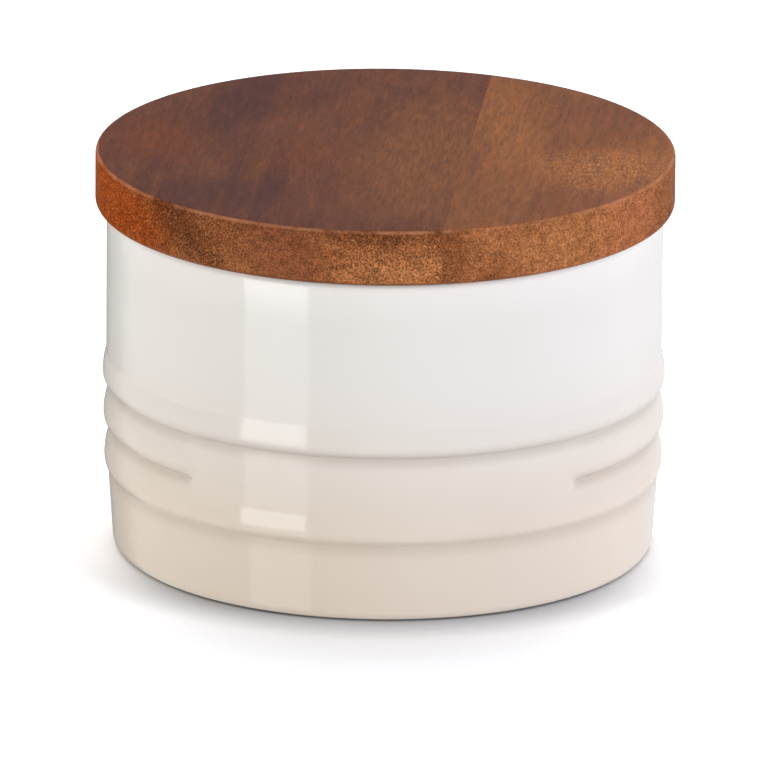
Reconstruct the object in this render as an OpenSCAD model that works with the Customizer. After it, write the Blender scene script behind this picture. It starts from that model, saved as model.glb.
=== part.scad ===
// Round stoneware salt keeper with a lift-off lid made of two edge-glued acacia boards.
// Millimetres. The foot stands on z = 0, +Z is up and the bare front panel faces -Y.

/* [Jar] */
// Outside diameter of the straight upper wall
jar_d = 103.7; // [92:0.1:116]
// Height of the jar from the table to the rim
jar_h = 65.7; // [58:0.1:90]
// Thickness of the wall at the mouth
wall_t = 5; // [4:0.1:7]
// Height of the inside floor above the table
floor_z = 6; // [4.5:0.1:9]
// Radius between the inside floor and the wall
cove_r = 8; // [3:0.5:12]
// Rounding on both sides of the rim
rim_round = 1.6; // [0.6:0.1:1.9]
// How far the wall under the ribs lies inside the upper wall
lower_in = 0.45; // [0.2:0.05:1]
// How far the foot lies inside the upper wall
foot_in = 1.35; // [1:0.05:4]
// Rounding of the outer corner of the foot
foot_round = 2; // [1:0.1:4]
// Width of the ring that the jar stands on
foot_ring_w = 5; // [3:0.1:8]
// Depth of the recess inside the foot ring
foot_recess = 1.5; // [0.8:0.1:2.5]

/* [Ribs] */
// Number of ribs round the jar
rib_count = 3; // [2:1:4]
// Height of the crest of the top rib
rib_top_z = 33.4; // [31:0.1:46]
// Height from one crest to the next
rib_pitch = 8.1; // [7:0.1:8.8]
// How far the crest of the top rib stands out from the upper wall
rib_out = 0.65; // [0.4:0.05:1.2]
// How much less each rib stands out than the rib above it
rib_taper = 0.18; // [0:0.02:0.2]
// Radius of the long upper face of a rib
rib_face_r = 12.5; // [12:0.1:16]
// Radius of the short lip under a crest
rib_lip_r = 1.8; // [1.5:0.1:2.2]
// Radius at the bottom of a groove
groove_r = 0.45; // [0.3:0.05:0.8]
// Radius where the lowest rib meets the wall below it
step_r = 1.5; // [0.8:0.1:3]
// Radius where the top rib runs into the upper wall
shoulder_r = 3; // [1:0.5:8]
// Arc of the bare front panel that interrupts the lowest groove, in degrees
panel_deg = 84; // [40:1:140]
// How far the front panel lies behind the crests
panel_set = 0.08; // [0.05:0.01:0.3]

/* [Lid] */
// Diameter of the lid
lid_d = 108; // [106:0.5:120]
// Thickness of the lid boards
lid_t = 10.7; // [8:0.1:16]
// Rounding of the top edge of the lid
lid_top_round = 1; // [0.5:0.1:3]
// Rounding of the bottom edge of the lid
lid_bottom_round = 1.5; // [0.5:0.1:3]
// Distance of the glue line from the middle of the lid
seam_x = 15.4; // [-20:0.1:20]
// Lean of the glue line from the Y direction, in degrees
seam_lean = 5.2; // [0:0.1:15]

/* [Plug] */
// Height of the plug under the lid boards
plug_h = 9; // [8.5:0.1:14]
// Gap between the plug and the inside of the mouth
plug_gap = 2; // [1.5:0.1:3]
// Chamfer on the lower edge of the plug
plug_chamfer = 1; // [0.5:0.1:1.5]
// Distance from the lid boards down to the seal groove
seal_drop = 2; // [1.5:0.1:2.5]

/* [Seal] */
// Height of the silicone ring
seal_h = 4.4; // [4:0.1:4.8]
// Depth of the groove that holds the ring
seal_groove = 2.4; // [1.8:0.1:3.5]
// Thickness of one sealing lip
lip_t = 0.8; // [0.6:0.1:1]
// How far a lip rises from its root to its tip
lip_rise = 0.7; // [0.2:0.1:1]
// Gap between the lip tips and the mouth
lip_gap = 0.2; // [0.15:0.05:0.4]
// Running clearance between the ring and the bottom of its groove
seal_run = 0.06; // [0.04:0.01:0.1]
// Clearance above and below the ring in its groove
seal_side = 0.1; // [0.05:0.05:0.2]

/* [Hidden] */

$fn = 180;
arc_steps = 10;

wall_r = jar_d / 2;
mouth_r = wall_r - wall_t;
lower_r = wall_r - lower_in;
foot_r = wall_r - foot_in;
ring_in_r = foot_r - foot_round - foot_ring_w;
total_h = jar_h + lid_t;

// Crest radius and height of rib i, counted from the top one
function crest_r(i) = wall_r + rib_out - rib_taper * i;
function crest_z(i) = rib_top_z - rib_pitch * i;
// Centres of the two arcs that make a rib
function face_at(i) = [crest_r(i) - rib_face_r, crest_z(i)];
function lip_at(i) = [crest_r(i) - rib_lip_r, crest_z(i)];

// Points of an arc about c, from angle a to angle b
function arc(c, r, a, b) =
    [for (k = [0 : arc_steps]) let (t = a + (b - a) * k / arc_steps) c + r * [cos(t), sin(t)]];
// Direction from p to q
function dir(p, q) = atan2(q[1] - p[1], q[0] - p[0]);
// Outer meeting point of a circle of radius ra about p and one of radius rb about q
function meet(p, ra, q, rb) =
    let (
        d = norm(q - p),
        u = (q - p) / d,
        along = (ra * ra - rb * rb + d * d) / (2 * d),
        off = sqrt(ra * ra - along * along)
    )
    p + along * u + off * [u[1], -u[0]];
// Height between a centre at radius x and a fillet centre at radius y, a distance d apart
function rise(x, y, d) = sqrt(d * d - (y - x) * (y - x));

// Centre of the fillet at the bottom of the groove above rib i
function groove_at(i) = meet(face_at(i), rib_face_r + groove_r, lip_at(i - 1), rib_lip_r + groove_r);

// Upper face of rib i and the groove and lip above it, going up
function rib_and_groove(i) =
    let (g = groove_at(i), f = face_at(i), l = lip_at(i - 1))
    concat(
        arc(f, rib_face_r, 0, dir(f, g)),
        arc(g, groove_r, dir(f, g) + 180, dir(l, g) + 180),
        arc(l, rib_lip_r, dir(l, g), 0)
    );

// Outline of the jar wall from the foot up to the rim, going up
function wall_outline() =
    let (
        last = rib_count - 1,
        low = lip_at(last),
        step = [
            lower_r + step_r,
            low[1] - rise(low[0], lower_r + step_r, rib_lip_r + step_r)
        ],
        top = face_at(0),
        shoulder = [
            wall_r + shoulder_r,
            top[1] + rise(top[0], wall_r + shoulder_r, rib_face_r + shoulder_r)
        ]
    )
    concat(
        arc([foot_r - foot_round, foot_round], foot_round, -90, 0),
        arc(step, step_r, 180, dir(low, step) + 180),
        arc(low, rib_lip_r, dir(low, step), 0),
        [for (i = [last : -1 : 1]) each rib_and_groove(i)],
        arc(top, rib_face_r, 0, dir(top, shoulder)),
        arc(shoulder, shoulder_r, dir(top, shoulder) + 180, 180),
        arc([wall_r - rim_round, jar_h - rim_round], rim_round, 0, 90)
    );

// Outline of the inside, from the mouth down to the floor
function inside_outline() =
    concat(
        arc([mouth_r + rim_round, jar_h - rim_round], rim_round, 90, 180),
        arc([mouth_r - cove_r, floor_z + cove_r], cove_r, 0, -90)
    );

// Half section of the jar with all its grooves running full circle
module jar_section() {
    polygon(concat(
        wall_outline(),
        inside_outline(),
        [[0, floor_z], [0, foot_recess], [ring_in_r - foot_recess, foot_recess], [ring_in_r, 0]]
    ));
}

// Cone that rounds off one end of the interrupted groove
module groove_end(a) {
    end_r = rib_pitch * 0.57;
    depth = rib_out + 2;
    g = groove_at(rib_count - 1);
    rotate([0, 0, a]) translate([g[0] - groove_r - 0.2, 0, g[1]]) rotate([0, 90, 0])
        cylinder(h = depth, r1 = end_r * 0.72, r2 = end_r * 1.3);
}

// Bare panel across the front, between the two ends of the lowest groove
module front_panel() {
    last = rib_count - 1;
    inner = wall_r - wall_t / 2;
    end_a = panel_deg / 2 + asin(rib_pitch * 0.57 / wall_r);
    difference() {
        rotate([0, 0, -90 - end_a]) rotate_extrude(angle = 2 * end_a)
            polygon([
                [inner, crest_z(last)],
                [crest_r(last) - panel_set, crest_z(last)],
                [crest_r(last - 1) - panel_set, crest_z(last - 1)],
                [inner, crest_z(last - 1)]
            ]);
        for (s = [-1, 1]) groove_end(-90 + s * end_a);
    }
}

// Glazed stoneware jar
module jar() {
    color("#e6dfd3") union() {
        rotate_extrude() jar_section();
        front_panel();
    }
}

// Round blank of the lid, before it is divided along the glue line
module lid_blank() {
    r = lid_d / 2;
    rotate_extrude() polygon(concat(
        [[0, jar_h]],
        arc([r - lid_bottom_round, jar_h + lid_bottom_round], lid_bottom_round, -90, 0),
        arc([r - lid_top_round, total_h - lid_top_round], lid_top_round, 0, 90),
        [[0, total_h]]
    ));
}

// Half space on one side of the glue line: side -1 is the left board, +1 the right one
module board_side(side) {
    reach = lid_d * 1.5;
    translate([seam_x, 0, jar_h - 1]) rotate([0, 0, -seam_lean])
        translate([side > 0 ? 0 : -reach, -reach / 2, 0]) cube([reach, reach, lid_t + 2]);
}

// Wide board on the left of the glue line
module lid_board_left() {
    color("#6f3f25") intersection() {
        lid_blank();
        board_side(-1);
    }
}

// Narrow board on the right of the glue line
module lid_board_right() {
    color("#8f5930") intersection() {
        lid_blank();
        board_side(1);
    }
}

plug_r = mouth_r - plug_gap;
groove_floor_r = plug_r - seal_groove;
groove_top_z = jar_h - seal_drop;
groove_low_z = groove_top_z - seal_h - 2 * seal_side;

// Disc glued under the boards, with the groove that holds the seal
module lid_plug() {
    low_z = jar_h - plug_h;
    color("#9a6a42") rotate_extrude() polygon([
        [0, low_z],
        [plug_r - plug_chamfer, low_z],
        [plug_r, low_z + plug_chamfer],
        [plug_r, groove_low_z],
        [groove_floor_r, groove_low_z],
        [groove_floor_r, groove_top_z],
        [plug_r, groove_top_z],
        [plug_r, jar_h],
        [0, jar_h]
    ]);
}

// Outline of one sealing lip, rising from its root at height z
function lip_outline(z, root_r, tip_r) =
    let (e = lip_t / 2, c = [tip_r - e, z + e + lip_rise])
    concat([[root_r, z]], arc(c, e, -60, 90), [[root_r, z + lip_t]]);

// Silicone ring with two lips that brush the inside of the mouth
module seal_ring() {
    in_r = groove_floor_r + seal_run;
    root_r = plug_r + 0.3;
    tip_r = mouth_r - lip_gap;
    z0 = groove_low_z + seal_side;
    z1 = z0 + seal_h;
    color("#ecebe6") rotate_extrude() polygon(concat(
        [[in_r, z0], [root_r, z0]],
        lip_outline(z0 + 0.4, root_r, tip_r),
        lip_outline(z1 - 0.4 - lip_t - lip_rise, root_r, tip_r),
        [[root_r, z1], [in_r, z1]]
    ));
}

jar();
lid_board_left();
lid_board_right();
lid_plug();
seal_ring();
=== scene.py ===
"""Salt keeper of cream-glazed stoneware with a lift-off acacia lid, dressed round its packed model.

Run as a script it builds the pieces, a small studio and the camera. Lengths are metres.
"""

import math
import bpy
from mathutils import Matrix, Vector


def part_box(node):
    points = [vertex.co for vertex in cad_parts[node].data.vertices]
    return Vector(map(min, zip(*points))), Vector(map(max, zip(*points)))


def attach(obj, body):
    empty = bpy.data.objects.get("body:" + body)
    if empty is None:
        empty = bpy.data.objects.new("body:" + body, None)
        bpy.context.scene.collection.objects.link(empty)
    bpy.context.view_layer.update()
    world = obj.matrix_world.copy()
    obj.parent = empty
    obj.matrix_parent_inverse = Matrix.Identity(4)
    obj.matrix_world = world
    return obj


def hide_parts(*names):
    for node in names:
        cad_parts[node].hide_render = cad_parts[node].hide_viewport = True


bl_info = {
    "name": "Salt keeper",
    "version": (1, 0, 0),
    "blender": (4, 5, 0),
    "location": "3D View > Sidebar > Salt keeper",
    "description": "Builds a glazed salt keeper with an acacia lid and the studio it stands in",
    "category": "Object",
}

import bmesh
import bpy
from bpy.props import FloatProperty, FloatVectorProperty, IntProperty, PointerProperty
from mathutils import Matrix, Vector

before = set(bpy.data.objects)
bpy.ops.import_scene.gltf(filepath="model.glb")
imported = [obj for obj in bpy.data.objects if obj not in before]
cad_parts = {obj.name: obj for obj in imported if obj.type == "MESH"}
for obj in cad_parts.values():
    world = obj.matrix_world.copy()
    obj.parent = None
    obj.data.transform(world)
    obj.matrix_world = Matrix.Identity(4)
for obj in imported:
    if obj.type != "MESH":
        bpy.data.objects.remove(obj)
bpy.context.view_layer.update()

MM = 0.001
JAR_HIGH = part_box("jar")[1]
LID_LOW, LID_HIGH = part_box("lid_board_left")
PICTURE_WIDTH = 768

# Sectors of a turned piece, the distance within which their points merge, and the one for tiny edges
SECTORS = 12
MERGE_DISTANCE = 1e-6
CUT_PRECISION = 1e-7

# Depth of the jar's outer skin, which carries the panel and the warm glaze, and where that glaze fades
SKIN_DEPTH = 2.5 * MM
SKIN_FADE = 1 * MM
# Height up to which the foot is left unglazed
BARE_FOOT = 0.35 * MM

# Front panel: its edge over the top groove line, the flare to the lowest crest and the tuck at its top
PANEL_EDGE = 0.35 * MM
PANEL_OVERLAP = 0.3 * MM
PANEL_FLARE = 3.5 * MM
PANEL_TUCK = 0.05 * MM
PANEL_TUCK_HEIGHT = 1.7 * MM

# Blunt ends of the lowest groove: where the panel starts to fade and over what length, first at the
# groove line, then what is added to both away from it, and the two distances between which it is added
END_START, END_FADE = 0.5 * MM, 2.0 * MM
END_START_ADDED, END_FADE_ADDED = 1.9 * MM, 3.4 * MM
END_NEAR, END_FAR = 0.1 * MM, 1.9 * MM

# Pooled glaze, which also paints shade into the grooves: its reach above a groove line, where it starts to
# thin out below it and how far it goes
POOL_SHADE_ABOVE = 2.6 * MM
POOL_SHADE_CORE, POOL_SHADE_BELOW = 0.2 * MM, 2.5 * MM
# How much less pooled glaze and painted shade lies where the panel covers a groove
PANEL_POOL_SHADE_CUT = 0.2
# The softer line of painted shade under the lowest crest: how strong it is and where it fades, from the
# top down
LOW_LINE = 0.6
LOW_LINE_TOP, LOW_LINE_UPPER = 1.2 * MM, -0.4 * MM
LOW_LINE_LOWER, LOW_LINE_END = -1.6 * MM, -3.4 * MM

# Heights at which the glaze has its foot tone, leaves its wall tone, and starts and ends its lighter rim
# tone, which is painted light
GLAZE_FOOT, GLAZE_WALL = 10 * MM, 50 * MM
RIM_LIGHT_START, RIM_LIGHT_FULL = 56 * MM, 67 * MM
# Tones of the faint clouds in the glaze and of the specks in the clay
GLAZE_CLOUD = (0.86, 0.82, 0.78)
CLAY_SPECK = (0.30, 0.24, 0.19)

# Seal: distance from a face of the ring to the lip next to it, and the arc of a lip's tip in degrees
LIP_MARGIN = 0.4 * MM
LIP_START, LIP_SWEEP = -60, 150

# Distances inside the lid's edge between which the end grain takes over
END_GRAIN_IN, END_GRAIN_OUT = 0.9 * MM, 0.1 * MM
# Painted highlight on the top corner: the depth it is measured from, and where the highlight starts and is
# full, in millimetres
CORNER_DEPTH = 2 * MM
CORNER_START, CORNER_FULL = 1.26, 1.40
# Places in Y between which the patches of the end grain fade in, from the unseen back to the front
RIM_BACK, RIM_FRONT = 36 * MM, -4 * MM
# Slow drifts of the wood's hue
PURPLE_HUE = (0.115, 0.042, 0.040)
ORANGE_HUE = (0.235, 0.070, 0.024)

# Floor: places in Y of the weak and the full contact shade, their strengths, the shade's colour, the
# cast of the floor, and the distances between which it turns white to the camera
FLOOR_SIZE = 12.0
CONTACT_BACK, CONTACT_FRONT = -8 * MM, -46 * MM
CONTACT_WEAK, CONTACT_FULL = 0.18, 0.92
CONTACT_COLOUR = (0.11, 0.14, 0.18)
FLOOR_CAST = (1.0, 1.015, 1.045)
WHITE_START, WHITE_END = 0.35, 0.9

# Lamps, each with the name of its power setting, its width, height, place and colour
LAMPS = (
    ("key_softbox", "key", 1.0, 0.6, (1.45, -0.68, 0.32), (0.97, 0.985, 1.07)),
    ("fill_softbox", "fill", 1.0, 0.6, (-1.30, -0.95, 0.32), (1.03, 1.0, 0.94)),
    ("top_softbox", "top", 1.2, 1.2, (0.0, 0.75, 1.5), (1.0, 1.0, 1.0)),
)
LAMP_AIM = Vector((0, 0, 0.035))

# Tones of the patches on the top and in the end grain
RED_PATCH = (0.200, 0.052, 0.020)
WARM_PATCH = (0.215, 0.080, 0.032)
DARK_PATCH = (0.078, 0.030, 0.028)
GOLD_PATCH = (0.360, 0.138, 0.042)
FLECKED_PATCH = (0.355, 0.128, 0.040)
ORANGE_END = (0.296, 0.050, 0.002)
DARK_END = (0.101, 0.028, 0.009)
RUSSET_END = (0.230, 0.075, 0.033)
GOLD_END = (0.413, 0.163, 0.061)
ROSE_END = (0.415, 0.136, 0.058)

# Soft patches of another tone on the top: centre x, centre y, half x, half y, tone, amount
WIDE_BOARD_ZONES = (
    (9, -8, 20, 60, WARM_PATCH, 0.95),
    (-42, 4, 10, 20, RED_PATCH, 0.55),
    (-14, -6, 9, 16, RED_PATCH, 0.3),
    (-28, 22, 9, 18, DARK_PATCH, 0.6),
    (-29, -28, 12, 14, DARK_PATCH, 0.6),
)
NARROW_BOARD_ZONES = (
    (23, 10, 8, 50, GOLD_PATCH, 0.62),
    (42, -12, 15, 19, FLECKED_PATCH, 0.85),
    (41, 24, 9, 16, DARK_PATCH, 0.25),
    (14, -34, 9, 30, WARM_PATCH, 0.9),
)

# Patches of the front end grain: centre x, centre z, half x, half z, skew, tone, amount
WIDE_RIM_ZONES = (
    (-52, 71, 15, 20, 0.0, ORANGE_END, 0.95),
    (-36, 71, 6.5, 14, 0.9, DARK_END, 0.75),
    (-19, 71, 11, 14, 0.0, RUSSET_END, 0.8),
    (1, 76.0, 16, 3.6, 0.0, DARK_END, 0.7),
    (2, 68.4, 15, 4.6, 0.0, GOLD_END, 0.75),
)
NARROW_RIM_ZONES = (
    (12, 72, 5, 10, 0.0, DARK_END, 0.55),
    (33, 70, 17, 14, 0.0, GOLD_END, 0.6),
    (46, 71, 8, 14, 0.0, ROSE_END, 0.6),
    (56, 71, 7, 14, 0.0, DARK_END, 0.35),
)


def length(name, description, default):
    """A length in metres that shows in the scene's own unit."""
    return FloatProperty(
        name=name, description=description, default=default,
        unit="LENGTH", subtype="DISTANCE", precision=5, min=0.0,
    )


def colour(name, description, default):
    """A colour that a user may change."""
    return FloatVectorProperty(
        name=name, description=description, default=default,
        subtype="COLOR", size=3, min=0.0, max=1.0,
    )


def share(name, description, default):
    """A plain number from 0 to 1."""
    return FloatProperty(
        name=name, description=description, default=default, subtype="FACTOR", min=0.0, max=1.0,
    )


class JarSettings(bpy.types.PropertyGroup):
    """Sizes and glaze of the jar"""

    height: length("Height", "Height of the rim above the table", JAR_HIGH.z)
    wall_radius: length("Wall radius", "Outside radius of the straight upper wall", 51.85 * MM)
    wall: length("Wall", "Thickness of the wall at the mouth", 5 * MM)
    floor: length("Floor", "Height of the inside floor", 6 * MM)
    cove: length("Cove", "Radius between the inside floor and the wall", 8 * MM)
    rim_round: length("Rim rounding", "Rounding on both sides of the rim", 1.6 * MM)
    lower_in: length("Lower wall inset", "How far the wall under the ribs lies inside", 0.45 * MM)
    foot_in: length("Foot inset", "How far the foot lies inside the upper wall", 1.35 * MM)
    foot_round: length("Foot rounding", "Rounding of the outer corner of the foot", 2 * MM)
    foot_ring: length("Foot ring", "Width of the ring that the jar stands on", 5 * MM)
    foot_recess: length("Foot recess", "Depth of the recess inside the foot ring", 1.5 * MM)
    rib_top: length("Top rib", "Height of the crest of the top rib", 33.4 * MM)
    rib_pitch: length("Rib pitch", "Height from one crest to the next", 8.1 * MM)
    rib_out: length("Rib relief", "How far the top crest stands out", 0.65 * MM)
    rib_taper: length("Rib taper", "How much less each lower rib stands out", 0.18 * MM)
    rib_face: length("Rib face radius", "Radius of the long upper face of a rib", 12.5 * MM)
    rib_lip: length("Rib lip radius", "Radius of the short lip under a crest", 1.8 * MM)
    low_lip: length("Lowest lip radius", "Radius of the lip under the lowest crest", 4 * MM)
    groove: length("Groove radius", "Radius at the bottom of a groove", 0.45 * MM)
    step: length("Step radius", "Radius where the lowest rib meets the wall", 1.5 * MM)
    shoulder: length("Shoulder radius", "Radius where the top rib runs into the wall", 3 * MM)
    panel_set: length("Panel set", "How far the bare front panel lies inside the wall", 0.05 * MM)
    panel_half: FloatProperty(
        name="Panel half angle", description="Half of the arc without the lowest groove",
        default=math.radians(43), unit="ROTATION", subtype="ANGLE",
    )
    ribs: IntProperty(name="Ribs", description="Number of ribs round the jar", default=3, min=2, max=5)
    turns: IntProperty(name="Turns", description="Facets round the jar", default=480, min=48)
    # The lighter glaze near the rim is painted light on the wall under the lid
    rim_glaze_painted_light: colour("Glaze under the lid", "Colour of the glaze near the rim", (0.90, 0.88, 0.855))
    glaze_high: colour("Glaze of the wall", "Colour of the glaze above the ribs", (0.82, 0.795, 0.765))
    glaze_low: colour("Glaze at the foot", "Colour of the glaze near the foot", (0.78, 0.675, 0.575))
    # Grey tint of the pooled glaze, also used as painted shade in the grooves and under the lowest crest
    glaze_pool: colour("Pooled glaze", "Tint where the glaze pools", (0.66, 0.63, 0.60))
    clay: colour("Bare clay", "Colour of the unglazed foot ring", (0.50, 0.42, 0.34))
    gloss: share("Glaze roughness", "Roughness of the glaze", 0.06)


class LidSettings(bpy.types.PropertyGroup):
    """Sizes and wood of the lid boards"""

    radius: length("Radius", "Radius of the lid", 54 * MM)
    thickness: length("Thickness", "Thickness of the boards", LID_HIGH.z - LID_LOW.z)
    top_round: length("Top rounding", "Rounding of the top edge", 1 * MM)
    bottom_round: length("Bottom rounding", "Rounding of the bottom edge", 1.5 * MM)
    seam: length("Glue line", "Distance of the glue line from the middle", 15.4 * MM)
    lean: FloatProperty(
        name="Lean", description="Lean of the glue line and the grain from the Y direction",
        default=math.radians(5.2), unit="ROTATION", subtype="ANGLE",
    )
    glue_chamfer: length("Glue line chamfer", "Chamfer on the two edges that meet", 0.04 * MM)
    turns: IntProperty(name="Turns", description="Facets round the lid", default=288, min=48)
    dark_heart: colour("Dark heartwood", "Darkest bands of the wide board", (0.090, 0.032, 0.026))
    red_heart: colour("Red heartwood", "Reddish bands of the wide board", (0.165, 0.058, 0.030))
    brown_heart: colour("Brown heartwood", "Light bands of the narrow board", (0.275, 0.098, 0.040))
    brown_dark: colour("Dark brown wood", "Dark bands of the narrow board", (0.175, 0.062, 0.030))
    end_light: colour("Light end grain", "Light bands of the end grain on the rim", (0.346, 0.127, 0.049))
    end_dark: colour("Dark end grain", "Dark bands of the end grain on the rim", (0.212, 0.071, 0.025))
    end_fleck: colour("End grain flecks", "Light flecks of the end grain", (0.72, 0.30, 0.07))
    stroke: colour("Light strokes", "Short light strokes in the flecked patch", (0.60, 0.255, 0.090))
    # Lighter line painted along the top edge as a highlight
    painted_edge_highlight: colour("Worn edge", "Lighter line along the sanded top edge", (0.50, 0.22, 0.115))
    pores: colour("Pores", "Open pores along the grain", (0.045, 0.020, 0.016))


class PlugSettings(bpy.types.PropertyGroup):
    """Sizes and wood of the plug under the lid"""

    depth: length("Depth", "Height of the plug", 9 * MM)
    gap: length("Gap", "Gap between the plug and the mouth", 2 * MM)
    chamfer: length("Chamfer", "Chamfer on the lower edge", 1 * MM)
    groove_drop: length("Groove drop", "Distance from the boards down to the groove", 2 * MM)
    groove_height: length("Groove height", "Height of the seal groove", 4.6 * MM)
    groove_depth: length("Groove depth", "Depth of the seal groove", 2.4 * MM)
    edge: length("Edge rounding", "Softening of the turned edges", 0.25 * MM)
    wood: colour("Wood", "Main colour of the plug", (0.34, 0.165, 0.078))
    wood_dark: colour("Dark bands", "Darker bands of the plug", (0.20, 0.085, 0.04))


class SealSettings(bpy.types.PropertyGroup):
    """Sizes and finish of the silicone ring"""

    height: length("Height", "Height of the ring", 4.4 * MM)
    side: length("Side clearance", "Clearance above and below the ring", 0.1 * MM)
    run: length("Running clearance", "Clearance at the bottom of the groove", 0.06 * MM)
    body: length("Body", "How far the ring's body stands out of the groove", 0.3 * MM)
    lip: length("Lip", "Thickness of one sealing lip", 0.8 * MM)
    lip_rise: length("Lip rise", "How far a lip rises to its tip", 0.7 * MM)
    lip_gap: length("Lip gap", "Gap between the lip tips and the mouth", 0.2 * MM)
    tint: colour("Tint", "Colour of the silicone", (0.80, 0.79, 0.76))


class StageSettings(bpy.types.PropertyGroup):
    """Camera, floor and lamps"""

    distance: length("Camera distance", "Distance from the camera to its target", 3.6)
    target_height: length("Target height", "Height of the point that the camera looks at", 30.496 * MM)
    target_side: length("Target side", "Sideways place of that point", 0.07 * MM)
    elevation: FloatProperty(
        name="Camera elevation", description="Angle of the camera above the horizon",
        default=math.radians(17.183), unit="ROTATION", subtype="ANGLE",
    )
    roll: FloatProperty(
        name="Camera roll", description="Turn of the camera about its line of sight",
        default=math.radians(0.467), unit="ROTATION", subtype="ANGLE",
    )
    focal_pixels: FloatProperty(
        name="Focal length in pixels", description="Focal length for a picture 768 pixels wide",
        default=19270.465, min=100.0,
    )
    floor: colour("Floor", "Colour of the floor", (0.80, 0.80, 0.80))
    floor_seen: FloatProperty(
        name="Floor to the camera", description="How light the floor looks to the camera",
        default=1.4, min=0.0,
    )
    contact: length("Contact reach", "How far the soft contact shadow reaches", 12.5 * MM)
    room: FloatProperty(name="Room light", description="Strength of the even light", default=0.33, min=0.0)
    key: FloatProperty(
        name="Key lamp", description="Power of the large lamp on the right",
        default=15.3, min=0.0, unit="POWER", subtype="POWER",
    )
    fill: FloatProperty(
        name="Fill lamp", description="Power of the lamp on the left",
        default=11.2, min=0.0, unit="POWER", subtype="POWER",
    )
    top: FloatProperty(
        name="Top lamp", description="Power of the lamp overhead",
        default=15.0, min=0.0, unit="POWER", subtype="POWER",
    )
    strip: FloatProperty(
        name="Strip card", description="Brightness of the strip that shows in the glaze",
        default=4.6, min=0.0,
    )
    shade: FloatProperty(
        name="Shade card", description="Brightness of the grey card behind",
        default=0.33, min=0.0,
    )


SETTINGS = (
    ("salt_jar", JarSettings),
    ("salt_lid", LidSettings),
    ("salt_plug", PlugSettings),
    ("salt_seal", SealSettings),
    ("salt_stage", StageSettings),
)


class Outline:
    """Half section of a turned piece, drawn point by point in the XZ plane."""

    def __init__(self, x, z):
        self.bm = bmesh.new()
        self.tip = self.bm.verts.new((x, 0, z))

    def line(self, x, z, parts=1):
        """Straight run to a new point."""
        start = self.tip.co.copy()
        for k in range(parts):
            run = bmesh.ops.extrude_vert_indiv(self.bm, verts=[self.tip])
            self.tip = run["verts"][0]
            self.tip.co = start.lerp(Vector((x, 0, z)), (k + 1) / parts)

    def arc(self, x, z, degrees, parts):
        """Swings the outline round a centre, counter-clockwise for positive angles."""
        swung = bmesh.ops.spin(
            self.bm, geom=[self.tip], cent=(x, 0, z), axis=(0, -1, 0), dvec=(0, 0, 0),
            angle=math.radians(degrees), steps=parts,
            use_merge=False, use_normal_flip=False, use_duplicate=False,
        )
        self.tip = swung["geom_last"][0]

    def turned(self, turns):
        """Turns the outline into a closed solid and gives its bmesh.

        One sector is swept and then repeated round the axis, which is much quicker than one sweep.
        """
        sector = math.tau / SECTORS
        bmesh.ops.spin(
            self.bm, geom=self.bm.verts[:] + self.bm.edges[:], cent=(0, 0, 0), axis=(0, 0, 1),
            dvec=(0, 0, 0), angle=sector, steps=turns // SECTORS,
            use_merge=False, use_normal_flip=False, use_duplicate=False,
        )
        bmesh.ops.spin(
            self.bm, geom=self.bm.verts[:] + self.bm.edges[:] + self.bm.faces[:],
            cent=(0, 0, 0), axis=(0, 0, 1), dvec=(0, 0, 0),
            angle=math.tau - sector, steps=SECTORS - 1,
            use_merge=False, use_normal_flip=False, use_duplicate=True,
        )
        bmesh.ops.remove_doubles(self.bm, verts=self.bm.verts[:], dist=MERGE_DISTANCE)
        bmesh.ops.dissolve_degenerate(self.bm, edges=self.bm.edges[:], dist=CUT_PRECISION)
        bmesh.ops.recalc_face_normals(self.bm, faces=self.bm.faces[:])
        return self.bm


def heading(start, end):
    """Direction from one point of the section to another, in degrees."""
    return math.degrees(math.atan2(end[1] - start[1], end[0] - start[0]))


def meeting(a, a_radius, b, b_radius):
    """Outer meeting point of a circle about a and one about b."""
    gap = math.dist(a, b)
    ux, uz = (b[0] - a[0]) / gap, (b[1] - a[1]) / gap
    along = (a_radius**2 - b_radius**2 + gap**2) / (2 * gap)
    off = math.sqrt(a_radius**2 - along**2)
    return a[0] + along * ux + off * uz, a[1] + along * uz - off * ux


def rise(x, y, reach):
    """Height between a centre at radius x and one at radius y that lie reach apart."""
    return math.sqrt(reach**2 - (y - x) ** 2)


def ease(low, high, value):
    """Smooth step from 0 at low to 1 at high."""
    t = min(max((value - low) / (high - low), 0.0), 1.0)
    return t * t * (3 - 2 * t)


def finished(bm, name, materials, sharp=35):
    """Makes an object of the bmesh, smooth apart from its sharp corners."""
    mesh = bpy.data.meshes.new(name)
    bm.to_mesh(mesh)
    bm.free()
    mesh.shade_smooth()
    mesh.set_sharp_from_angle(angle=math.radians(sharp))
    for material in materials:
        mesh.materials.append(material)
    piece = bpy.data.objects.new(name, mesh)
    bpy.context.scene.collection.objects.link(piece)
    return piece


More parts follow.
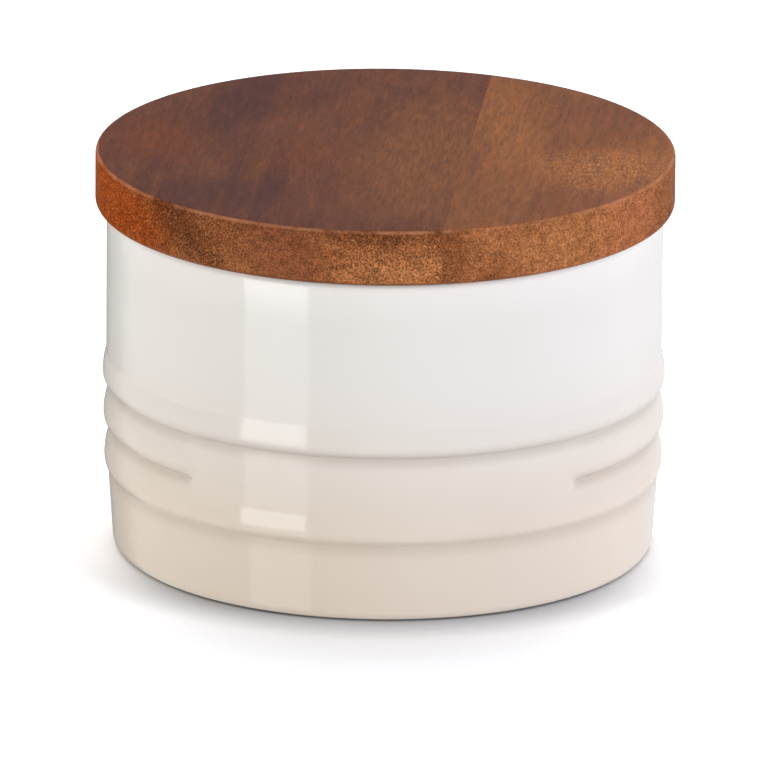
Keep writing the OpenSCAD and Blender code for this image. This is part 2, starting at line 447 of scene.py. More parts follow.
class Finish:
    """Node tree of one material, wired step by step."""

    def __init__(self, name):
        self.material = bpy.data.materials.new(name)
        self.material.use_nodes = True
        self.tree = self.material.node_tree
        self.tree.nodes.clear()
        self.shader = self.add("ShaderNodeBsdfPrincipled")
        self.out = self.add("ShaderNodeOutputMaterial")
        self.tree.links.new(self.shader.outputs[0], self.out.inputs["Surface"])
        self.coordinates = self.add("ShaderNodeTexCoord").outputs["Object"]

    def add(self, kind, **settings):
        """New node with its settings."""
        node = self.tree.nodes.new(kind)
        for key, value in settings.items():
            setattr(node, key, value)
        return node

    def feed(self, socket, source):
        """Links a socket or writes a plain value."""
        if isinstance(source, bpy.types.NodeSocket):
            self.tree.links.new(source, socket)
        elif hasattr(source, "__len__") and socket.type == "RGBA" and len(source) == 3:
            socket.default_value = (*source, 1.0)
        else:
            socket.default_value = source

    def placed(self, vector, scale=(1, 1, 1), turn=0.0, shift=(0, 0, 0)):
        """Scales the coordinates, turns them about Z and shifts them."""
        node = self.add("ShaderNodeMapping")
        self.feed(node.inputs["Vector"], vector)
        node.inputs["Location"].default_value = shift
        node.inputs["Rotation"].default_value = (0, 0, turn)
        node.inputs["Scale"].default_value = scale
        return node.outputs[0]

    def noise(self, vector, scale=1.0, detail=2.0, rough=0.5):
        """Grey noise, about 0.5 on average."""
        node = self.add("ShaderNodeTexNoise")
        self.feed(node.inputs["Vector"], vector)
        node.inputs["Scale"].default_value = scale
        node.inputs["Detail"].default_value = detail
        node.inputs["Roughness"].default_value = rough
        return node.outputs[0]

    def calc(self, operation, a, b=0.0, c=0.0):
        """One sum of up to three values."""
        node = self.add("ShaderNodeMath", operation=operation)
        for socket, source in zip(node.inputs, (a, b, c)):
            self.feed(socket, source)
        return node.outputs[0]

    def span(self, value, low, high, to_low=0.0, to_high=1.0):
        """Smooth step of a value from one range to another."""
        node = self.add("ShaderNodeMapRange", interpolation_type="SMOOTHSTEP")
        for socket, source in zip(node.inputs, (value, low, high, to_low, to_high)):
            self.feed(socket, source)
        return node.outputs[0]

    def mix(self, factor, a, b, blend="MIX"):
        """Blends two colours, which sit at 6 and 7 of the node's sockets, and the result at 2."""
        node = self.add("ShaderNodeMix", data_type="RGBA", blend_type=blend)
        for socket, source in zip((0, 6, 7), (factor, a, b)):
            self.feed(node.inputs[socket], source)
        return node.outputs[2]

    def parts(self, vector):
        """The three sockets of a vector's X, Y and Z."""
        node = self.add("ShaderNodeSeparateXYZ")
        self.feed(node.inputs[0], vector)
        return node.outputs

    def joined(self, x, y, z):
        """A vector of three values."""
        node = self.add("ShaderNodeCombineXYZ")
        for socket, source in zip(node.inputs, (x, y, z)):
            self.feed(socket, source)
        return node.outputs[0]

    def reach(self, vector):
        """Length of a vector."""
        node = self.add("ShaderNodeVectorMath", operation="LENGTH")
        self.feed(node.inputs[0], vector)
        return node.outputs["Value"]

    def bump(self, height, strength, distance):
        """Normal that follows a grey height."""
        node = self.add("ShaderNodeBump")
        node.inputs["Strength"].default_value = strength
        node.inputs["Distance"].default_value = distance
        self.feed(node.inputs["Height"], height)
        return node.outputs[0]


def glaze_finish(jar):
    """Glossy cream glaze, warmer towards the foot, lighter near the rim by painted light, and darker in
    the grooves by pooled glaze and painted shade.
    """
    f = Finish("cream_glaze")
    place = f.parts(f.coordinates)
    height = place[2]
    radius = f.reach(f.joined(place[0], place[1], 0.0))
    skin = jar.wall_radius - SKIN_DEPTH
    outside = f.span(radius, skin - SKIN_FADE, skin)
    warm = f.calc("MULTIPLY", outside, f.span(height, GLAZE_WALL, GLAZE_FOOT))
    # Painted light: the glaze turns lighter towards the rim
    tone = f.mix(f.span(height, RIM_LIGHT_START, RIM_LIGHT_FULL), jar.glaze_high, jar.rim_glaze_painted_light)
    tone = f.mix(warm, tone, jar.glaze_low)
    # Darkening in the grooves and under the lowest crest: partly pooled glaze, partly painted shade
    pool_and_shade = f.add("ShaderNodeAttribute", attribute_name="glaze_pool").outputs["Fac"]
    tone = f.mix(f.calc("MULTIPLY", pool_and_shade, 0.8), tone, jar.glaze_pool, "MULTIPLY")
    cloud = f.noise(f.coordinates, scale=55.0, detail=3.0)
    tone = f.mix(f.span(cloud, 0.3, 0.7, 0.0, 0.08), tone, GLAZE_CLOUD)
    f.feed(f.shader.inputs["Base Color"], tone)
    flow = f.noise(f.placed(f.coordinates, (1, 1, 0.45)), scale=120.0, detail=1.0)
    rough = f.span(flow, 0.3, 0.7, jar.gloss, jar.gloss + 0.03)
    rough = f.calc("MULTIPLY_ADD", pool_and_shade, 0.22, rough)
    f.feed(f.shader.inputs["Roughness"], rough)
    f.shader.inputs["IOR"].default_value = 1.5
    f.feed(f.shader.inputs["Normal"], f.bump(flow, 0.12, 0.0002))
    return f.material


def clay_finish(jar):
    """Bare fired clay of the foot ring."""
    f = Finish("bare_clay")
    grain = f.noise(f.coordinates, scale=2600.0, detail=3.0, rough=0.7)
    stain = f.noise(f.coordinates, scale=180.0, detail=2.0)
    dark = [c * 0.72 for c in jar.clay]
    tone = f.mix(f.span(stain, 0.3, 0.7), jar.clay, dark)
    tone = f.mix(f.span(grain, 0.55, 0.75, 0.0, 0.5), tone, CLAY_SPECK)
    f.feed(f.shader.inputs["Base Color"], tone)
    f.shader.inputs["Roughness"].default_value = 0.85
    f.feed(f.shader.inputs["Normal"], f.bump(grain, 0.5, 0.0001))
    return f.material


def silicone_finish(seal):
    """Soft matt silicone."""
    f = Finish("white_silicone")
    haze = f.noise(f.coordinates, scale=300.0, detail=2.0)
    tone = f.mix(f.span(haze, 0.3, 0.7), seal.tint, [c * 0.93 for c in seal.tint])
    f.feed(f.shader.inputs["Base Color"], tone)
    dust = f.noise(f.coordinates, scale=4000.0, detail=2.0)
    f.feed(f.shader.inputs["Roughness"], f.span(dust, 0.3, 0.7, 0.38, 0.52))
    f.shader.inputs["Subsurface Weight"].default_value = 0.25
    f.shader.inputs["Subsurface Radius"].default_value = (0.002, 0.0018, 0.0015)
    f.feed(f.shader.inputs["Normal"], f.bump(dust, 0.1, 0.00005))
    return f.material


def acacia_finish(name, lid, dark, light, seed, zones=(), rim_zones=None, flecks=0.1, grit=0.5):
    """Oiled acacia. The grain runs along Y, leaning with the glue line."""
    f = Finish(name)
    wood = f.placed(f.coordinates, (1000, 1000, 1000), turn=lid.lean, shift=seed)

    clouds = f.noise(f.placed(wood, (0.06, 0.020, 0.06)), detail=3.0)
    stripes = f.noise(f.placed(wood, (0.26, 0.016, 0.26)), detail=4.0, rough=0.65)
    fibre = f.noise(f.placed(wood, (1.7, 0.20, 1.7)), detail=4.0, rough=0.68)
    speck = f.noise(f.placed(wood, (2.9, 2.2, 2.9)), detail=2.0, rough=0.7)
    band = f.calc("MULTIPLY_ADD", stripes, 0.4, f.calc("MULTIPLY", clouds, 0.6))
    tone = f.mix(f.span(band, 0.34, 0.66), dark, light)

    place = f.parts(f.coordinates)
    ragged = f.noise(f.placed(wood, (0.12, 0.05, 0.12)), detail=4.0, rough=0.65)
    uneven = f.calc("MULTIPLY_ADD", ragged, 1.1, -0.55)

    def patch(first, second, half_first, half_second, amount):
        """Oval patch with a ragged, streaky edge."""
        spot = f.joined(first, second, 0.0)
        spot = f.placed(spot, (1 / half_first, 1 / half_second, 1))
        far = f.calc("ADD", f.reach(spot), uneven)
        streaky = f.calc("MULTIPLY", f.span(far, 1.15, 0.2), f.span(fibre, 0.2, 0.65, 0.6, 1.0))
        return f.calc("MULTIPLY", streaky, amount)

    lively = 0.0
    for centre_x, centre_y, half_x, half_y, fresh, amount in zones:
        across = f.calc("MULTIPLY_ADD", place[0], 1000, -centre_x)
        along = f.calc("MULTIPLY_ADD", place[1], 1000, -centre_y)
        cover = patch(across, along, half_x, half_y, amount)
        tone = f.mix(cover, tone, fresh)
        if fresh == FLECKED_PATCH:
            lively = f.calc("MAXIMUM", lively, cover)

    hue = f.noise(f.placed(wood, (0.35, 0.05, 0.35), shift=(7, 3, 1)), detail=3.0, rough=0.6)
    tone = f.mix(f.span(hue, 0.52, 0.75, 0.0, 0.35), tone, PURPLE_HUE)
    tone = f.mix(f.span(hue, 0.46, 0.25, 0.0, 0.35), tone, ORANGE_HUE)
    tone = f.mix(1.0, tone, f.span(fibre, 0.25, 0.75, 0.78, 1.24), "MULTIPLY")
    strand = f.noise(f.placed(wood, (0.8, 0.12, 0.8), shift=(3, 9, 2)), detail=2.0, rough=0.6)
    tone = f.mix(1.0, tone, f.span(strand, 0.3, 0.7, 0.93, 1.08), "MULTIPLY")
    spread = f.calc("MULTIPLY_ADD", lively, 0.3, flecks)
    low_end, high_end = f.calc("SUBTRACT", 1.0, spread), f.calc("ADD", 1.0, spread)
    tone = f.mix(1.0, tone, f.span(speck, 0.35, 0.65, low_end, high_end), "MULTIPLY")
    stroke = f.noise(f.placed(wood, (2.3, 0.62, 2.3), shift=(5, 2, 8)), detail=2.0, rough=0.6)
    bright = f.calc("MULTIPLY", lively, f.span(stroke, 0.50, 0.64, 0.0, 0.85))
    tone = f.mix(bright, tone, lid.stroke)
    pore_seed = f.noise(f.placed(wood, (3.0, 0.24, 3.0)), detail=1.0, rough=0.35)
    pore = f.span(pore_seed, 0.64, 0.74)
    tone = f.mix(f.calc("MULTIPLY", pore, 0.38), tone, lid.pores)
    rough = f.span(fibre, 0.3, 0.7, 0.42, 0.56)

    if rim_zones is not None:
        radius = f.reach(f.joined(place[0], place[1], 0.0))
        side = f.span(radius, lid.radius - END_GRAIN_IN, lid.radius - END_GRAIN_OUT)
        end_tone = f.mix(f.span(clouds, 0.38, 0.62), lid.end_dark, lid.end_light)
        front = f.span(place[1], RIM_BACK, RIM_FRONT)
        for centre_x, centre_z, half_x, half_z, skew, fresh, amount in rim_zones:
            up = f.calc("MULTIPLY_ADD", place[2], 1000, -centre_z)
            across = f.calc("MULTIPLY_ADD", place[0], 1000, -centre_x)
            across = f.calc("MULTIPLY_ADD", up, skew, across)
            cover = patch(across, up, half_x, half_z, f.calc("MULTIPLY", front, amount))
            end_tone = f.mix(cover, end_tone, fresh)
            if fresh == RUSSET_END:
                away = f.calc("SUBTRACT", 0.5, speck)
                speck = f.calc("MULTIPLY_ADD", away, f.calc("MULTIPLY", cover, 0.6), speck)
        end_tone = f.mix(1.0, end_tone, f.span(speck, 0.32, 0.66, 1 - grit, 1 + grit), "MULTIPLY")
        end_tone = f.mix(f.span(speck, 0.60, 0.74, 0.0, 0.55), end_tone, lid.end_fleck)
        blot = f.noise(f.placed(wood, (0.5, 0.5, 0.7)), detail=3.0, rough=0.65)
        end_tone = f.mix(1.0, end_tone, f.span(blot, 0.3, 0.7, 0.80, 1.20), "MULTIPLY")
        tone = f.mix(side, tone, end_tone)
        # Painted highlight: a lighter, streaky line on the rounded top corner
        over_edge = f.calc("SUBTRACT", f.calc("ADD", radius, place[2]), lid.radius - CORNER_DEPTH)
        corner = f.calc("MULTIPLY", f.calc("SUBTRACT", over_edge, LID_HIGH.z), 1000)
        bare = f.span(corner, CORNER_START, CORNER_FULL)
        highlight_amount = f.calc("MULTIPLY", bare, f.span(ragged, 0.38, 0.62, 0.05, 0.65))
        tone = f.mix(highlight_amount, tone, lid.painted_edge_highlight)
        rough = f.calc("MULTIPLY_ADD", side, 0.2, rough)

    f.feed(f.shader.inputs["Base Color"], tone)
    f.feed(f.shader.inputs["Roughness"], rough)
    f.shader.inputs["Specular IOR Level"].default_value = 0.05
    relief = f.calc("SUBTRACT", f.calc("MULTIPLY", fibre, 0.35), pore)
    f.feed(f.shader.inputs["Normal"], f.bump(relief, 0.35, 0.00012))
    return f.material


def jar_outline(jar):
    """Section of the jar: recess, foot ring, ribbed wall, rim, inside wall and floor."""
    wall_r = jar.wall_radius
    mouth_r = wall_r - jar.wall
    lower_r = wall_r - jar.lower_in
    foot_r = wall_r - jar.foot_in
    ring_in = foot_r - jar.foot_round - jar.foot_ring

    def crest(i):
        return wall_r + jar.rib_out - jar.rib_taper * i, jar.rib_top - jar.rib_pitch * i

    def face_at(i):
        return crest(i)[0] - jar.rib_face, crest(i)[1]

    def lip_at(i):
        return crest(i)[0] - jar.rib_lip, crest(i)[1]

    section = Outline(0.0, jar.foot_recess)
    section.line(ring_in - jar.foot_recess, jar.foot_recess, 4)
    section.line(ring_in, 0.0, 2)
    section.line(foot_r - jar.foot_round, 0.0, 4)
    section.arc(foot_r - jar.foot_round, jar.foot_round, 90, 10)

    last = jar.ribs - 1
    low = (crest(last)[0] - jar.low_lip, crest(last)[1])
    step_r = lower_r + jar.step
    step = (step_r, low[1] - rise(low[0], step_r, jar.low_lip + jar.step))
    section.line(lower_r, step[1], 6)
    into_step = heading(low, step)
    section.arc(*step, into_step, 6)
    section.arc(*low, -into_step, 8)
    for i in range(last, 0, -1):
        face, lip = face_at(i), lip_at(i - 1)
        groove = meeting(face, jar.rib_face + jar.groove, lip, jar.rib_lip + jar.groove)
        section.arc(*face, heading(face, groove), 18)
        section.arc(*groove, heading(lip, groove) - heading(face, groove), 6)
        section.arc(*lip, -heading(lip, groove), 10)
    top = face_at(0)
    shoulder_r = wall_r + jar.shoulder
    shoulder = (shoulder_r, top[1] + rise(top[0], shoulder_r, jar.rib_face + jar.shoulder))
    section.arc(*top, heading(top, shoulder), 14)
    section.arc(*shoulder, -heading(top, shoulder), 6)
    section.line(wall_r, jar.height - jar.rim_round, 4)
    section.arc(wall_r - jar.rim_round, jar.height - jar.rim_round, 90, 8)
    section.line(mouth_r + jar.rim_round, jar.height, 1)
    section.arc(mouth_r + jar.rim_round, jar.height - jar.rim_round, 90, 8)
    section.line(mouth_r, jar.floor + jar.cove, 4)
    section.arc(mouth_r - jar.cove, jar.floor + jar.cove, -90, 10)
    section.line(0.0, jar.floor, 4)
    return section


def groove_height(jar, i):
    """Height of the dark line under crest i."""
    return jar.rib_top - jar.rib_pitch * i - jar.rib_lip


def panel_radius(jar, z):
    """Radius of the bare front panel: the upper wall carried down and flared to the lowest crest.

    It is 0 where the panel doesn't reach.
    """
    last = jar.ribs - 1
    low_z = jar.rib_top - jar.rib_pitch * last
    low_r = jar.wall_radius + jar.rib_out - jar.rib_taper * last
    top = groove_height(jar, last - 2)
    if z < low_z or z > top + PANEL_EDGE:
        return 0.0
    flat = jar.wall_radius - jar.panel_set
    flare = (low_r - flat) * (1 - ease(low_z - PANEL_OVERLAP, low_z + PANEL_FLARE, z))
    tuck = PANEL_TUCK * ease(top - PANEL_TUCK_HEIGHT, top - PANEL_OVERLAP, z)
    return flat + flare - tuck


def panel_share(jar, x, y, z):
    """How much of the panel shows: all of it in front, none beyond the two blunt groove ends."""
    along = (abs(math.atan2(x, -y)) - jar.panel_half) * math.hypot(x, y)
    from_groove = abs(z - groove_height(jar, jar.ribs - 2))
    wide = ease(END_NEAR, END_FAR, from_groove)
    start = -END_START - END_START_ADDED * wide
    return 1 - ease(start, start + END_FADE + END_FADE_ADDED * wide, along)


def pooling_and_shade(jar, z, cover):
    """How dark the glaze is painted by pooled glaze and painted shade: most in the grooves and under the
    lowest crest, less where the panel covers them.
    """
    last = jar.ribs - 1
    pool_shade = 0.0
    for i in range(jar.ribs):
        up = z - groove_height(jar, i)
        if i == last:
            upper = ease(LOW_LINE_TOP, LOW_LINE_UPPER, up)
            line = LOW_LINE * upper * ease(LOW_LINE_END, LOW_LINE_LOWER, up)
        elif up > 0:
            line = 1 - ease(0.0, POOL_SHADE_ABOVE, up)
        else:
            line = (1 - ease(POOL_SHADE_CORE, -POOL_SHADE_BELOW, up)) * (1 - PANEL_POOL_SHADE_CUT * cover)
        if i == last - 1:
            line *= 1 - cover
        pool_shade = max(pool_shade, line)
    return pool_shade


class SALT_OT_jar(bpy.types.Operator):
    """Turn the glazed jar with its ribs, bare front panel and unglazed foot"""

    bl_idname = "salt_keeper.jar"
    bl_label = "Glazed jar"

    def execute(self, context):
        jar = context.scene.salt_jar
        bm = jar_outline(jar).turned(jar.turns)
        # Amount of pooled glaze and painted shade at each point
        pool_and_shade = bm.verts.layers.float.new("glaze_pool")
        for vert in bm.verts:
            x, y, z = vert.co
            r = math.hypot(x, y)
            if r < jar.wall_radius - SKIN_DEPTH:
                continue
            cover = panel_share(jar, x, y, z)
            panel_r = panel_radius(jar, z)
            if panel_r > 0:
                dressed = r + (panel_r - r) * cover
                vert.co.x, vert.co.y = x * dressed / r, y * dressed / r
            vert[pool_and_shade] = pooling_and_shade(jar, z, cover)
        for face in bm.faces:
            if face.calc_center_median().z < BARE_FOOT:
                face.material_index = 1
        bmesh.ops.recalc_face_normals(bm, faces=bm.faces[:])
        piece = finished(bm, "glazed_jar", [glaze_finish(jar), clay_finish(jar)], sharp=60)
        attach(piece, "jar")
        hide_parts("jar")
        return {"FINISHED"}


def lid_outline(lid, base):
    """Section of the lid blank before it is divided."""
    top = base + lid.thickness
    section = Outline(0.0, base)
    section.line(lid.radius - lid.bottom_round, base, 8)
    section.arc(lid.radius - lid.bottom_round, base + lid.bottom_round, 90, 8)
    section.line(lid.radius, top - lid.top_round, 5)
    section.arc(lid.radius - lid.top_round, top - lid.top_round, 90, 8)
    section.line(0.0, top, 8)
    return section


def lid_board(lid, base, side, name, material):
    """One board of the lid, cut from the blank along the glue line."""
    bm = lid_outline(lid, base).turned(lid.turns)
    across = Vector((math.cos(lid.lean), -math.sin(lid.lean), 0.0))
    cut = bmesh.ops.bisect_plane(
        bm, geom=bm.verts[:] + bm.edges[:] + bm.faces[:], dist=CUT_PRECISION,
        plane_co=(lid.seam, 0, 0), plane_no=across * side, clear_inner=True, clear_outer=False,
    )
    edges = [g for g in cut["geom_cut"] if isinstance(g, bmesh.types.BMEdge)]
    filled = bmesh.ops.holes_fill(bm, edges=edges, sides=0)
    rim = list({edge for face in filled["faces"] for edge in face.edges})
    bmesh.ops.bevel(
        bm, geom=rim, offset=lid.glue_chamfer, offset_type="OFFSET", affect="EDGES",
        segments=1, profile=0.5, material=-1, clamp_overlap=True,
    )
    bmesh.ops.recalc_face_normals(bm, faces=bm.faces[:])
    return finished(bm, name, [material])


class SALT_OT_lid(bpy.types.Operator):
    """Cut the two acacia boards of the lid"""

    bl_idname = "salt_keeper.lid"
    bl_label = "Lid boards"

    def execute(self, context):
        lid = context.scene.salt_lid
        base = context.scene.salt_jar.height
        dark = acacia_finish(
            "dark_acacia_oiled", lid, lid.dark_heart, lid.red_heart, (0.0, 0.0, 0.0),
            zones=WIDE_BOARD_ZONES, rim_zones=WIDE_RIM_ZONES, flecks=0.07, grit=0.62,
        )
        golden = acacia_finish(
            "golden_acacia_oiled", lid, lid.brown_dark, lid.brown_heart, (0.0, 260.0, 31.0),
            zones=NARROW_BOARD_ZONES, rim_zones=NARROW_RIM_ZONES, flecks=0.10, grit=0.42,
        )
        boards = (
            (-1, "wide_dark_board", dark, "lid_board_left", "dark_acacia"),
            (1, "narrow_golden_board", golden, "lid_board_right", "golden_acacia"),
        )
        for side, name, material, node, slot in boards:
            piece = lid_board(lid, base, side, name, material)
            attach(piece, "lid")
            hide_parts(node)
        return {"FINISHED"}


def softened(section, corners, edge):
    """Draws straight runs through the corners, each corner cut back by a small round."""
    for k, (x, z, soft) in enumerate(corners):
        if not soft:
            section.line(x, z, 2)
            continue
        before = Vector(corners[k - 1][:2])
        after = Vector(corners[k + 1][:2])
        corner = Vector((x, z))
        way_in = (corner - before).normalized()
        way_out = (after - corner).normalized()
        turn = math.atan2(way_in.cross(way_out), way_in.dot(way_out))
        cut = edge * math.tan(abs(turn) / 2)
        start = corner - way_in * cut
        square = Vector((-way_in.y, way_in.x)) * math.copysign(edge, turn)
        section.line(start.x, start.y, 2)
        centre = start + square
        section.arc(centre.x, centre.y, math.degrees(turn), 4)


class SALT_OT_plug(bpy.types.Operator):
    """Turn the plug under the lid with the groove for its seal"""

    bl_idname = "salt_keeper.plug"
    bl_label = "Lid plug"

    def execute(self, context):
        jar, lid, plug = (getattr(context.scene, k) for k in ("salt_jar", "salt_lid", "salt_plug"))
        radius = jar.wall_radius - jar.wall - plug.gap
        groove_r = radius - plug.groove_depth
        low = jar.height - plug.depth
        groove_high = jar.height - plug.groove_drop
        groove_low = groove_high - plug.groove_height
        corners = (
            (0.0, low, False),
            (radius - plug.chamfer, low, True),
            (radius, low + plug.chamfer, True),
            (radius, groove_low, True),
            (groove_r, groove_low, False),
            (groove_r, groove_high, False),
            (radius, groove_high, True),
            (radius, jar.height, False),
            (0.0, jar.height, False),
        )
        section = Outline(0.0, low)
        softened(section, corners[1:], plug.edge)
        wood = acacia_finish("plain_acacia_oiled", lid, plug.wood_dark, plug.wood, (40.0, 90.0, 12.0))
        piece = finished(section.turned(lid.turns), "turned_plug", [wood])
        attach(piece, "lid")
        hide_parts("lid_plug")
        return {"FINISHED"}


class SALT_OT_seal(bpy.types.Operator):
    """Mould the silicone ring with its two lips"""

    bl_idname = "salt_keeper.seal"
    bl_label = "Silicone seal"

    def execute(self, context):
        jar, lid, plug, seal = (
            getattr(context.scene, k) for k in ("salt_jar", "salt_lid", "salt_plug", "salt_seal")
        )
        mouth_r = jar.wall_radius - jar.wall
        inner = mouth_r - plug.gap - plug.groove_depth + seal.run
        root = mouth_r - plug.gap + seal.body
        tip = mouth_r - seal.lip_gap
        low = jar.height - plug.groove_drop - plug.groove_height + seal.side
        high = low + seal.height
        half = seal.lip / 2
        section = Outline(inner, low)
        section.line(root, low, 3)
        under = math.radians(LIP_START)
        for z in (low + LIP_MARGIN, high - LIP_MARGIN - seal.lip - seal.lip_rise):
            centre = (tip - half, z + half + seal.lip_rise)
            section.line(root, z, 1)
            section.line(centre[0] + half * math.cos(under), centre[1] + half * math.sin(under), 3)
            section.arc(*centre, LIP_SWEEP, 10)
            section.line(root, z + seal.lip, 3)
        section.line(root, high, 1)
        section.line(inner, high, 3)
        section.line(inner, low, 4)
        ring = section.turned(lid.turns)
        piece = finished(ring, "silicone_ring", [silicone_finish(seal)], sharp=50)
        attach(piece, "seal")
        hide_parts("seal_ring")
        return {"FINISHED"}


def stage_sheet(name, width, depth, place):
    """Flat sheet of the studio, centred on the origin and then put in its place."""
    bm = bmesh.new()
    bmesh.ops.create_grid(bm, x_segments=1, y_segments=1, size=0.5)
    bmesh.ops.scale(bm, vec=(width, depth, 1.0), verts=bm.verts[:])
    bmesh.ops.transform(bm, matrix=place, verts=bm.verts[:])
    mesh = bpy.data.meshes.new(name)
    bm.to_mesh(mesh)
    bm.free()
    sheet = bpy.data.objects.new(name, mesh)
    bpy.context.scene.collection.objects.link(sheet)
    return sheet


def area_lamp(name, power, width, height, place, tint):
    """Soft rectangular lamp that points at the jar and leaves no reflection."""
    lamp = bpy.data.lights.new(name, "AREA")
    lamp.shape = "RECTANGLE"
    lamp.size = width
    lamp.size_y = height
    lamp.energy = power
    lamp.color = tint
    holder = bpy.data.objects.new(name, lamp)
    holder.location = place
    holder.rotation_euler = (LAMP_AIM - Vector(place)).to_track_quat("-Z", "Y").to_euler()
    holder.visible_glossy = False
    bpy.context.scene.collection.objects.link(holder)


def floor_finish(stage):
    """Pale matt floor that keeps the shadow and turns white to the camera further out."""
    f = Finish("pale_floor")
    f.tree.nodes.remove(f.shader)
    matt = f.add("ShaderNodeBsdfDiffuse")
    path = f.add("ShaderNodeLightPath")
    near = f.add("ShaderNodeAmbientOcclusion", samples=8)
    near.inputs["Distance"].default_value = stage.contact
    shut = f.calc("SUBTRACT", 1.0, f.calc("POWER", near.outputs["AO"], 1.5))
    y = f.parts(f.coordinates)[1]
    front = f.span(y, CONTACT_BACK, CONTACT_FRONT, CONTACT_WEAK, CONTACT_FULL)
    open_floor = [stage.floor_seen * c for c in FLOOR_CAST]
    pale = f.mix(f.calc("MULTIPLY", shut, front), open_floor, CONTACT_COLOUR)
    seen = f.mix(path.outputs["Is Camera Ray"], stage.floor, pale)
    f.feed(matt.inputs["Color"], seen)
    white = f.add("ShaderNodeEmission")
    fade = f.add("ShaderNodeMixShader")
    far = f.span(f.reach(f.coordinates), WHITE_START, WHITE_END)
    f.feed(fade.inputs[0], f.calc("MULTIPLY", far, path.outputs["Is Camera Ray"]))
    f.tree.links.new(matt.outputs[0], fade.inputs[1])
    f.tree.links.new(white.outputs[0], fade.inputs[2])
    f.tree.links.new(fade.outputs[0], f.out.inputs["Surface"])
    return f.material


def card_finish(name, axis, low, high, dim, bright):
    """Glow of a studio card that changes smoothly along one axis."""
    f = Finish(name)
    f.tree.nodes.remove(f.shader)
    glow = f.add("ShaderNodeEmission")
    f.feed(glow.inputs["Strength"], f.span(f.parts(f.coordinates)[axis], low, high, dim, bright))
    f.tree.links.new(glow.outputs[0], f.out.inputs["Surface"])
    return f.material


def studio_card(name, left, right, low, high, finish):
    """Upright card between two points of the floor plan, seen only in reflections."""
    left, right, up = Vector(left), Vector(right), Vector((0, 0, 1))
    across = (right - left).normalized()
    turn = Matrix((across, up, across.cross(up))).transposed().to_4x4()
    middle = (left + right) / 2 + up * (low + high) / 2
    card = stage_sheet(name, (right - left).length, high - low, Matrix.Translation(middle) @ turn)
    card.data.materials.append(finish)
    for ray in ("camera", "diffuse", "transmission", "shadow", "volume_scatter"):
        setattr(card, "visible_" + ray, False)


def white_world(room):
    """Surroundings that are white to the camera and in reflections, and give the room its even light."""
    world = bpy.data.worlds.new("white_studio")
    world.use_nodes = True
    tree = world.node_tree
    tree.nodes.clear()
    out = tree.nodes.new("ShaderNodeOutputWorld")
    choose = tree.nodes.new("ShaderNodeMixShader")
    path = tree.nodes.new("ShaderNodeLightPath")
    for socket, strength in ((1, room), (2, 1.0)):
        light = tree.nodes.new("ShaderNodeBackground")
        light.inputs["Color"].default_value = (1, 1, 1, 1)
        light.inputs["Strength"].default_value = strength
        tree.links.new(light.outputs[0], choose.inputs[socket])
    seen = path.outputs["Is Camera Ray"]
    for ray in ("Is Glossy Ray", "Is Transmission Ray"):
        either = tree.nodes.new("ShaderNodeMath")
        either.operation = "MAXIMUM"
        tree.links.new(seen, either.inputs[0])
        tree.links.new(path.outputs[ray], either.inputs[1])
        seen = either.outputs[0]
    tree.links.new(seen, choose.inputs[0])
    tree.links.new(choose.outputs[0], out.inputs["Surface"])
    return world


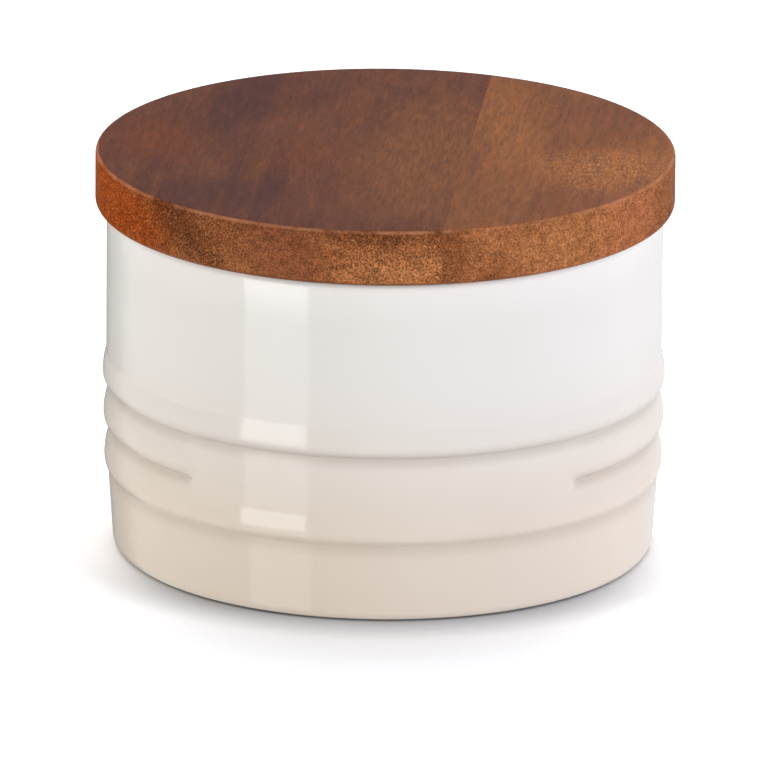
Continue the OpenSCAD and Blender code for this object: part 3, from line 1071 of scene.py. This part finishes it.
class SALT_OT_stage(bpy.types.Operator):
    """Set the camera, floor, lamps and background"""

    bl_idname = "salt_keeper.stage"
    bl_label = "Studio"

    def execute(self, context):
        scene = context.scene
        stage = scene.salt_stage

        lens = bpy.data.cameras.new("photo_camera")
        lens.sensor_width = 36.0
        lens.lens = stage.focal_pixels * lens.sensor_width / PICTURE_WIDTH
        lens.clip_start = 0.1
        lens.clip_end = 60.0
        camera = bpy.data.objects.new("photo_camera", lens)
        scene.collection.objects.link(camera)
        camera.matrix_world = (
            Matrix.Translation((stage.target_side, 0, stage.target_height))
            @ Matrix.Rotation(math.pi / 2 - stage.elevation, 4, "X")
            @ Matrix.Translation((0, 0, stage.distance))
            @ Matrix.Rotation(stage.roll, 4, "Z")
        )
        scene.camera = camera

        floor = stage_sheet("studio_floor", FLOOR_SIZE, FLOOR_SIZE, Matrix.Identity(4))
        floor.data.materials.append(floor_finish(stage))
        floor.visible_glossy = False

        studio_card(
            "strip_card", (-0.480, -0.820, 0), (-0.800, -0.503, 0), -0.8, 0.25,
            card_finish("strip_card_glow", 2, -0.24, -0.12, 0.45 * stage.strip, stage.strip),
        )
        studio_card(
            "left_shade_card", (-1.7, 1.2, 0), (0.0, 1.2, 0), -0.9, 0.7,
            card_finish("left_shade_glow", 0, -1.7, -0.8, 1.0, stage.shade),
        )
        studio_card(
            "right_shade_card", (0.0, 1.2, 0), (1.6, 1.2, 0), -0.9, 0.7,
            card_finish("right_shade_glow", 0, 0.0, 0.3, 0.45, 0.9),
        )

        for name, setting, width, height, place, tint in LAMPS:
            area_lamp(name, getattr(stage, setting), width, height, place, tint)

        scene.world = white_world(stage.room)
        scene.view_settings.view_transform = "Standard"
        return {"FINISHED"}


OPERATORS = (SALT_OT_stage, SALT_OT_jar, SALT_OT_lid, SALT_OT_plug, SALT_OT_seal)


class SALT_PT_keeper(bpy.types.Panel):
    """Sizes, colours and build buttons of the salt keeper"""

    bl_idname = "SALT_PT_keeper"
    bl_label = "Salt keeper"
    bl_space_type = "VIEW_3D"
    bl_region_type = "UI"
    bl_category = "Salt keeper"

    def draw(self, context):
        for operator in OPERATORS:
            self.layout.operator(operator.bl_idname)
        for name, group in SETTINGS:
            box = self.layout.box()
            box.label(text=group.__doc__)
            for key in group.__annotations__:
                box.prop(getattr(context.scene, name), key)


CLASSES = tuple(group for _, group in SETTINGS) + OPERATORS + (SALT_PT_keeper,)


def register():
    for cls in CLASSES:
        bpy.utils.register_class(cls)
    for name, group in SETTINGS:
        setattr(bpy.types.Scene, name, PointerProperty(type=group))


def unregister():
    for name, _ in SETTINGS:
        delattr(bpy.types.Scene, name)
    for cls in reversed(CLASSES):
        bpy.utils.unregister_class(cls)


def main():
    register()
    bpy.ops.salt_keeper.stage()
    bpy.ops.salt_keeper.jar()
    bpy.ops.salt_keeper.lid()
    bpy.ops.salt_keeper.plug()
    bpy.ops.salt_keeper.seal()


if __name__ == "__main__":
    main()
